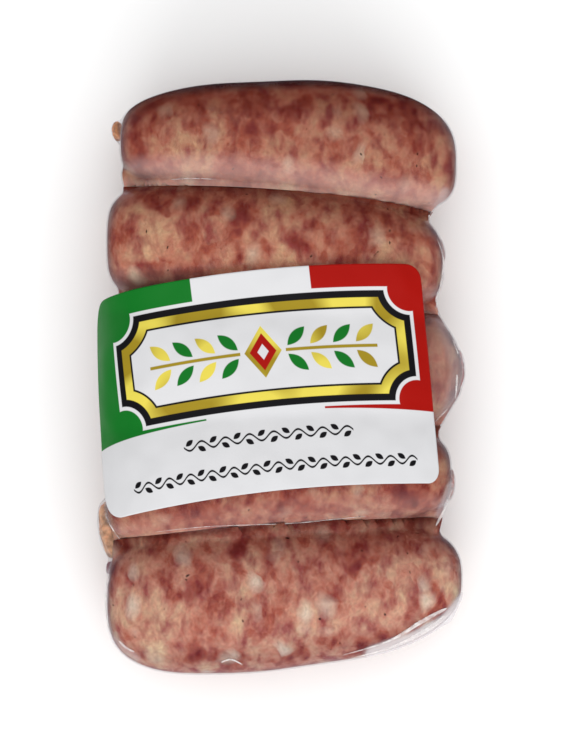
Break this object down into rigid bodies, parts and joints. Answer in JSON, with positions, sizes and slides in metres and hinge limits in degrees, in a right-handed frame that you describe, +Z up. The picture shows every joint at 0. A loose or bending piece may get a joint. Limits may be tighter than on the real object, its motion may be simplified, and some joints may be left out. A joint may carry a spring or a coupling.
{
  "type": "film pack of fresh sausages",
  "caption": "Fresh coarse sausages side by side in clear shrunk film, with a printed label across the middle of the row.",
  "frame": {"origin": "centre of the pack's bounding box in plan, on the surface that it lies on", "axes": "+X along the sausages, +Y across the row towards its first sausage, +Z up through the label"},
  "size_m": [0.0924, 0.149, 0.0391],
  "materials": {
    "pack": "coarse red meat and pale fat seen through tight glossy clear film",
    "label": "satin printed sticker with green, white and red fields"
  },
  "bodies": {
    "root": {"film_pack": "pack", "label": "label"}
  },
  "joints": []
}
